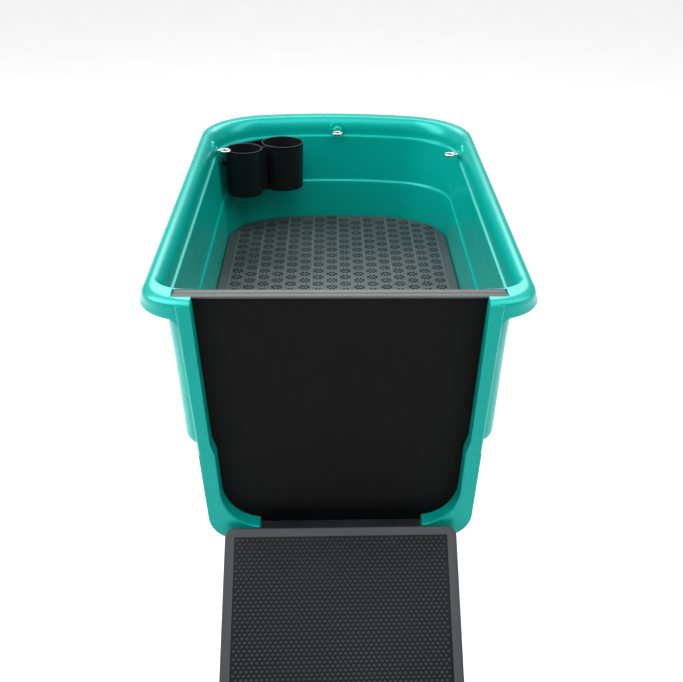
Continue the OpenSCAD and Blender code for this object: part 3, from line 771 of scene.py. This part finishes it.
def build_caddy():
    low, high = caddy_low.z, caddy_high.z
    r = 2.5 * MM
    turns = [math.pi / 2 * k / 4 for k in range(5)]
    stations = [(low + r * (1 - math.sin(a)), r * (1 - math.cos(a)) + 1 * MM) for a in reversed(turns)]
    stations += [(high - 3 * MM - 1.2 * MM * (1 - math.sin(a)), 1.2 * MM * (1 - math.cos(a))) for a in turns]
    caddy = loft("bottle_caddy_shape", [[(x, y, z) for x, y in hull_outline(inset)] for z, inset in stations])
    height = high - low
    inside = hull_outline(3.2 * MM)
    pocket = loft("pocket", [[(x, y, z) for x, y in inside] for z in (low + 8 * MM, high + 8 * MM)])
    boolean(caddy, pocket, "DIFFERENCE")
    edge = 4 * MM
    for (x, y), radius in CUPS:
        base = [(radius - 1.5 * MM - edge * (1 - math.cos(a)), edge * (1 - math.sin(a)))
                for a in reversed(turns)]
        bead = [(radius + 0.9 * MM * math.sin(t), height - 2.2 * MM - 2.2 * MM * math.cos(t))
                for t in np.linspace(0, math.pi, 9)]
        outer = [(0.0, 0.0)] + base + bead + [(0.0, height)]
        boolean(caddy, revolve("cup", outer, (x, FRONT + y, low), "Z", 72), "UNION")
    for i, (_, radius) in enumerate(CUPS):
        end = CUP_SCREWS[i][1]
        profile = [(9.8 * MM, radius - 4 * MM), (9.2 * MM, end - 1 * MM), (8.2 * MM, end)]
        boolean(caddy, on_cup_axis(revolve("boss", profile, (0, 0, 0), "Z", 32), i), "UNION")
    for (x, y), radius in CUPS:
        bore = radius - 3 * MM
        lip = [(bore + 1.6 * MM * (1 - math.cos(t)), height - 1.6 * MM + 1.6 * MM * math.sin(t))
               for t in np.linspace(0, math.pi / 2, 6)]
        foot = [(bore - edge * (1 - math.cos(a)), 3 * MM + edge * (1 - math.sin(a))) for a in reversed(turns)]
        hollow = [(0.0, 3 * MM)] + foot + lip + [(lip[-1][0], height + 8 * MM), (0.0, height + 8 * MM)]
        boolean(caddy, revolve("hollow", hollow, (x, FRONT + y, low), "Z", 72), "DIFFERENCE")
        boolean(caddy, revolve("weep", [(3 * MM, -5 * MM), (3 * MM, 9 * MM)], (x, FRONT + y, low), "Z", 20),
                "DIFFERENCE")
    for i, (_, radius) in enumerate(CUPS):
        profile = [(6.4 * MM, radius - 12 * MM), (6.4 * MM, radius + 0.5 * MM)]
        boolean(caddy, on_cup_axis(revolve("head", profile, (0, 0, 0), "Z", 32), i), "DIFFERENCE")
    shade(caddy, 32)
    place(caddy, "tub", "caddy_plastic", "bottle_caddy")


# ---------------------------------------------------------------- ramp, in its own frame, Y up the slope
DECK_START = 8.5 * MM
RAMP_RIB = 22 * MM
MAT_HALF = RAMP_HALF - 17.6 * MM
PAD_T = pad_high.z
RAMP_L = (PIN_Z + DECK_T * math.cos(RAMP_A) - PAD_T) / math.sin(RAMP_A)
MAT_TOP = -9 * MM
MAT_BOTTOM = -RAMP_L + 24 * MM
SLOPE = Matrix.Translation((0, PIN_Y, PIN_Z)) @ Matrix.Rotation(RAMP_A, 4, "X")


def deck_outline(inset):
    half, top, r = RAMP_HALF - inset, DECK_START - inset, 18 * MM - inset
    return ([(half, -RAMP_L - 60 * MM)] + arc(half - r, top - r, r, 0, 90, 14)
            + arc(r - half, top - r, r, 90, 180, 14) + [(-half, -RAMP_L - 60 * MM)])


def build_ramp():
    r = 3.5 * MM
    turns = [math.pi / 2 * k / 5 for k in range(6)]
    stations = [(0.0, 0.0)] + [(DECK_T - r * (1 - math.sin(a)), r * (1 - math.cos(a))) for a in turns]
    body = loft("ramp_moulding", [[(x, y, z) for x, y in deck_outline(inset)] for z, inset in stations])
    length = RAMP_L + 60 * MM
    under = 2 * MM
    for side in (-1, 1):
        x = side * (RAMP_HALF - 5.5 * MM)
        rail = box_solid("side", x - 4 * MM, x + 4 * MM, -length, -24 * MM, -RAMP_RIB, under, 1.5 * MM)
        boolean(body, rail, "UNION")
        x = side * 70 * MM
        rib = box_solid("long", x - 2.5 * MM, x + 2.5 * MM, -RAMP_L - 20 * MM, -26 * MM, 2 * MM - RAMP_RIB,
                        under, 0.8 * MM)
        boolean(body, rib, "UNION")
        near, far = sorted((side * 40 * MM, side * 90 * MM))
        knuckle = [(DECK_T - 0.6 * MM, 0), (DECK_T, 0.6 * MM), (DECK_T, 49.4 * MM),
                   (DECK_T - 0.6 * MM, 50 * MM)]
        boolean(body, revolve("knuckle", knuckle, (near, 0, 0), "X", 40), "UNION")
        boolean(body, box_solid("arm", near, far, -24 * MM, 0, -DECK_T, DECK_T - 2 * MM, 0.8 * MM), "UNION")
    y = -27 * MM
    while y > -RAMP_L:
        boolean(body, box_solid("cross", 2 * MM - RAMP_HALF, RAMP_HALF - 2 * MM, y - 3 * MM, y + 2 * MM,
                                2 * MM - RAMP_RIB, under, 0.8 * MM), "UNION")
        y -= 95 * MM
    boolean(body, box_solid("heel", 2 * MM - RAMP_HALF, RAMP_HALF - 2 * MM, -RAMP_L - 20 * MM,
                            -RAMP_L + 40 * MM, -RAMP_RIB, under, 1 * MM), "UNION")
    boolean(body, box_solid("mat_bed", -MAT_HALF, MAT_HALF, MAT_BOTTOM, MAT_TOP, DECK_T - 2.5 * MM,
                            DECK_T + 20 * MM), "DIFFERENCE")
    for side in (-1, 1):
        x = side * 112 * MM
        boolean(body, box_solid("pocket", x - 8 * MM, x + 8 * MM, -16 * MM, 14 * MM, -6.3 * MM, 6.3 * MM),
                "DIFFERENCE")
    pin = revolve("pin_hole", [(3.1 * MM, -140 * MM), (3.1 * MM, 140 * MM)], (0, 0, 0), "X", 32)
    boolean(body, pin, "DIFFERENCE")
    body.data.transform(SLOPE)
    boolean(body, box_solid("ground", -1, 1, ramp_low.y - 0.3, ramp_low.y + 0.3, -0.3, PAD_T), "DIFFERENCE")
    shade(body, 32)
    place(body, "ramp", "ramp_plastic", "ramp_body")


def build_mat():
    """The walking mat: a sheet with rounded edges and a field of low round studs."""
    top = DECK_T - 0.4 * MM
    sheet = box_solid("ramp_mat_studs", -MAT_HALF + 0.3 * MM, MAT_HALF - 0.3 * MM, MAT_BOTTOM + 0.3 * MM,
                      MAT_TOP - 0.3 * MM, DECK_T - 2.5 * MM, top, 0.5 * MM)
    verts = [tuple(v.co) for v in sheet.data.vertices]
    faces = [tuple(f.vertices) for f in sheet.data.polygons]
    bpy.data.objects.remove(sheet)
    profile = [(3.4 * MM, -0.2 * MM), (3.0 * MM, 0.8 * MM), (2.4 * MM, 1.3 * MM), (1.2 * MM, 1.5 * MM)]
    sides = 10
    turns = [2 * math.pi * k / sides for k in range(sides)]
    row, y = 0, MAT_TOP - 6.5 * MM
    while y > MAT_BOTTOM + 5 * MM:
        x = -MAT_HALF + (6 + 4.5 * (row % 2)) * MM
        while x < MAT_HALF - 5 * MM:
            base = len(verts)
            for radius, h in profile:
                verts += [(x + radius * math.cos(t), y + radius * math.sin(t), top + h) for t in turns]
            for ring in range(len(profile) - 1):
                a, b = base + ring * sides, base + (ring + 1) * sides
                faces += [(a + k, a + (k + 1) % sides, b + (k + 1) % sides, b + k) for k in range(sides)]
            faces.append(tuple(base + (len(profile) - 1) * sides + k for k in range(sides)))
            faces.append(tuple(base + k for k in reversed(range(sides))))
            x += 9 * MM
        y -= 7 * MM
        row += 1
    mat = mesh_object("ramp_mat_studs", [SLOPE @ Vector(v) for v in verts], faces, 40)
    place(mat, "ramp", "mat_plastic", "ramp_mat")


def build_foot():
    pad = box_solid("ramp_foot", pad_low.x, pad_high.x, pad_low.y, pad_high.y, pad_low.z, pad_high.z,
                    2.5 * MM)
    for k in range(1, 5):
        y = pad_low.y + 9 * MM * k
        groove = box_solid("groove", pad_low.x - 0.01, pad_high.x + 0.01, y - 1.5 * MM, y + 1.5 * MM, -0.01,
                           1.5 * MM)
        boolean(pad, groove, "DIFFERENCE")
    shade(pad, 35)
    place(pad, "ramp", "foot_rubber", "ramp_foot_pad")


build_tub()
build_door()
build_racks()
build_caddy()
build_ramp()
build_mat()
build_foot()

# ---------------------------------------------------------------- pieces shown with their CAD shape
SLOT_OF = {s["node"]: s["material_slot"] for s in frame["record"]["subparts"]}
for node_name, node_object in NODES.items():
    paint(node_object, SLOT_MATERIAL[SLOT_OF[node_name]])


# ---------------------------------------------------------------- stage, light and camera
def area_light(name, at, to, size, power, colour=(1, 1, 1), size_y=None):
    data = bpy.data.lights.new(name, "AREA")
    data.energy = power
    data.color = colour
    data.size = size
    if size_y:
        data.shape = "RECTANGLE"
        data.size_y = size_y
    obj = bpy.data.objects.new(name, data)
    bpy.context.scene.collection.objects.link(obj)
    obj.location = at
    obj.rotation_euler = (Vector(to) - Vector(at)).to_track_quat("-Z", "Y").to_euler()
    return obj


def build_stage():
    floor = mesh_object("floor", [(-30, -30, 0), (30, -30, 0), (30, 30, 0), (-30, 30, 0)], [(0, 1, 2, 3)])
    mat, tree, bsdf = material("floor_paint")
    speckle = noise(tree, 3.0)
    tree.links.new(ramp(tree, speckle.outputs["Fac"], [(0.3, (0.86, 0.86, 0.86)), (0.7, (0.9, 0.9, 0.9))]),
                   bsdf.inputs["Base Color"])
    bsdf.inputs["Roughness"].default_value = 0.8
    bsdf.inputs["Emission Color"].default_value = (1.0, 1.0, 1.0, 1.0)
    bsdf.inputs["Emission Strength"].default_value = 0.35
    paint(floor, mat)
    world = bpy.data.worlds.new("studio")
    bpy.context.scene.world = world
    world.use_nodes = True
    tree = world.node_tree
    coord = tree.nodes.new("ShaderNodeTexCoord")
    split = tree.nodes.new("ShaderNodeSeparateXYZ")
    tree.links.new(coord.outputs["Generated"], split.inputs["Vector"])
    sky = ramp(tree, split.outputs["Z"], [(0.0, (0.12, 0.12, 0.12)), (0.25, (0.25, 0.25, 0.25)),
                                          (0.75, (1.0, 1.0, 1.0))])
    tree.links.new(sky, tree.nodes["Background"].inputs["Color"])
    tree.nodes["Background"].inputs["Strength"].default_value = 0.75
    area_light("left_bank", (-2.4, 0.3, 3.0), (-0.2, 0.1, 0.85), 1.8, 155, size_y=4.0)
    area_light("right_bank", (2.4, 0.3, 3.1), (0.2, 0.1, 0.85), 1.4, 70, size_y=4.0)
    area_light("back_bank", (0, 3.4, 2.8), (0, 0.2, 0.8), 3.4, 50, size_y=1.2)
    area_light("front_top", (0.2, -1.3, 3.6), (0, -0.1, 0.6), 2.2, 50)


def build_camera():
    data = bpy.data.cameras.new("camera")
    data.lens = 58.0
    data.sensor_width = 36.0
    data.shift_x = -0.085
    data.clip_end = 100.0
    cam = bpy.data.objects.new("camera", data)
    bpy.context.scene.collection.objects.link(cam)
    pan, tilt, roll = (math.radians(a) for a in (-3.85, 90 - 25.83, 1.46))
    at = (-14.0 * MM, FRONT - 1676.6 * MM, TOP + 742.5 * MM)
    cam.matrix_world = (Matrix.Translation(at)
                        @ Matrix.Rotation(pan, 4, "Z") @ Matrix.Rotation(tilt, 4, "X")
                        @ Matrix.Rotation(roll, 4, "Z"))
    bpy.context.scene.camera = cam


build_stage()
build_camera()
bpy.context.scene.view_settings.view_transform = "Standard"
